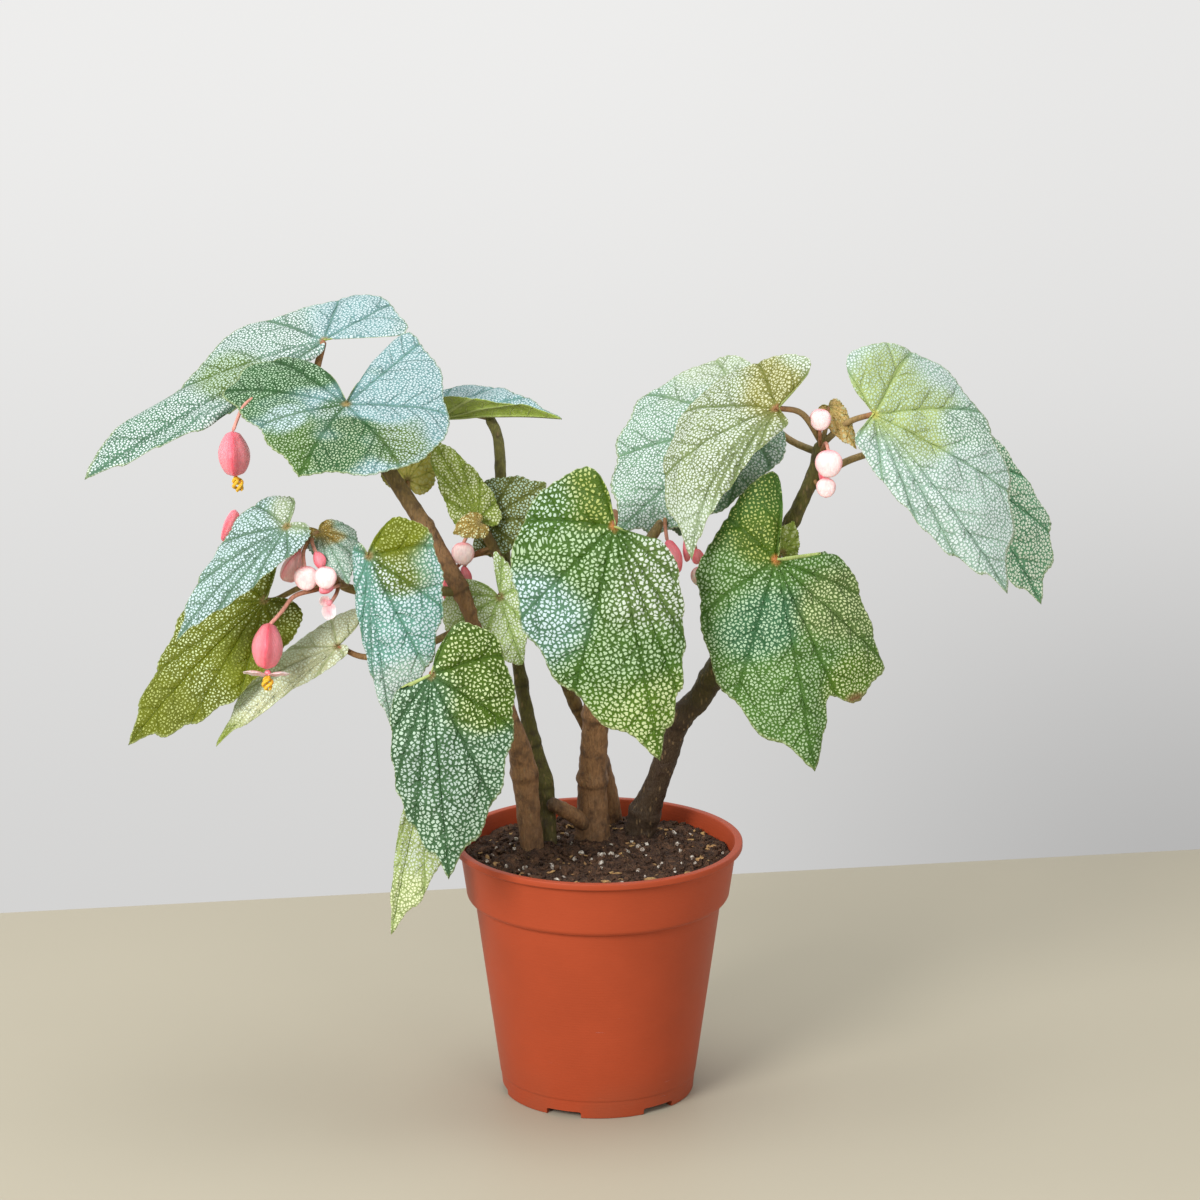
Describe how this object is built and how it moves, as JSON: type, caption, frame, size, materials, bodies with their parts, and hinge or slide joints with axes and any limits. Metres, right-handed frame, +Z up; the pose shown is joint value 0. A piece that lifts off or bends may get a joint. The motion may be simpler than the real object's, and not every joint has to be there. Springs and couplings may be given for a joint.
{
  "type": "potted begonia",
  "caption": "Cane begonia with speckled wing-shaped leaves and hanging pink blooms, growing in a round terracotta-coloured nursery pot that stands on its foot.",
  "frame": {"origin": "centre of the pot's foot, on the surface the pot stands on", "axes": "+Z up, the front of the plant faces -Y, +X to the right as seen from the front"},
  "size_m": [0.4981, 0.1839, 0.4049],
  "materials": {
    "pot": "terracotta-coloured moulded plastic, satin",
    "soil": "moist peat and bark compost, rough",
    "bark": "brown bark, matt",
    "green_bark": "young greenish bark, matt",
    "leaf_deep": "leaf, dark green with white speckles, satin",
    "leaf_olive": "leaf, olive green, satin",
    "leaf_mint": "leaf, pale mint with white speckles, satin",
    "leaf_teal": "leaf, blue-green with white speckles, satin",
    "leaf_blue": "leaf, pale silvery blue, satin",
    "leaf_lime": "leaf, yellow-green, satin",
    "bloom_coral": "fleshy seed case, coral pink, satin",
    "bloom_blush": "petal, pinkish white, matt",
    "bloom_yellow": "stigma, yellow, matt"
  },
  "bodies": {
    "root": {"pot": "pot", "soil": "soil", "cane_left": "bark", "cane_slim": "green_bark", "cane_main": "bark", "cane_back": "bark", "cane_right": "bark", "leaf_left_far": "leaf_mint", "leaf_left_crown": "leaf_blue", "leaf_left_bud": "leaf_olive", "leaf_left_mid": "leaf_mint", "leaf_left_low": "leaf_olive", "leaf_left_small": "leaf_mint", "leaf_inner_high": "leaf_teal", "leaf_left_edge": "leaf_lime", "leaf_inner_low": "leaf_deep", "leaf_inner_hanging": "leaf_lime", "leaf_slim_stem": "leaf_blue", "leaf_front": "leaf_deep", "leaf_main_top": "leaf_mint", "leaf_back_high": "leaf_lime", "leaf_back_right": "leaf_mint", "leaf_back_small": "leaf_olive", "leaf_back_low": "leaf_lime", "leaf_right_front": "leaf_lime", "leaf_right_inner": "leaf_blue", "leaf_right_outer": "leaf_mint", "leaf_right_far": "leaf_teal", "leaf_right_young": "leaf_olive", "leaf_right_low": "leaf_deep", "leaf_right_hidden": "leaf_lime", "seed_case_left_high": "bloom_coral", "stigma_left_high": "bloom_yellow", "seed_case_left_behind": "bloom_coral", "seed_case_cluster_wide": "bloom_blush", "seed_case_cluster_high": "bloom_coral", "bud_cluster_left": "bloom_blush", "bud_cluster_right": "bloom_blush", "seed_case_cluster_low": "bloom_coral", "petals_cluster": "bloom_blush", "seed_case_left_low": "bloom_coral", "petals_left_low": "bloom_blush", "stigma_left_low": "bloom_yellow", "bud_back": "bloom_blush", "seed_case_back_near": "bloom_coral", "seed_case_back_far": "bloom_coral", "seed_case_main_wide": "bloom_coral", "seed_case_main_slim": "bloom_coral", "seed_case_main_right": "bloom_coral", "bud_main": "bloom_blush", "bud_right_high": "bloom_blush", "bud_right_mid": "bloom_blush", "seed_case_right": "bloom_coral", "bud_right_low": "bloom_blush"}
  },
  "joints": []
}
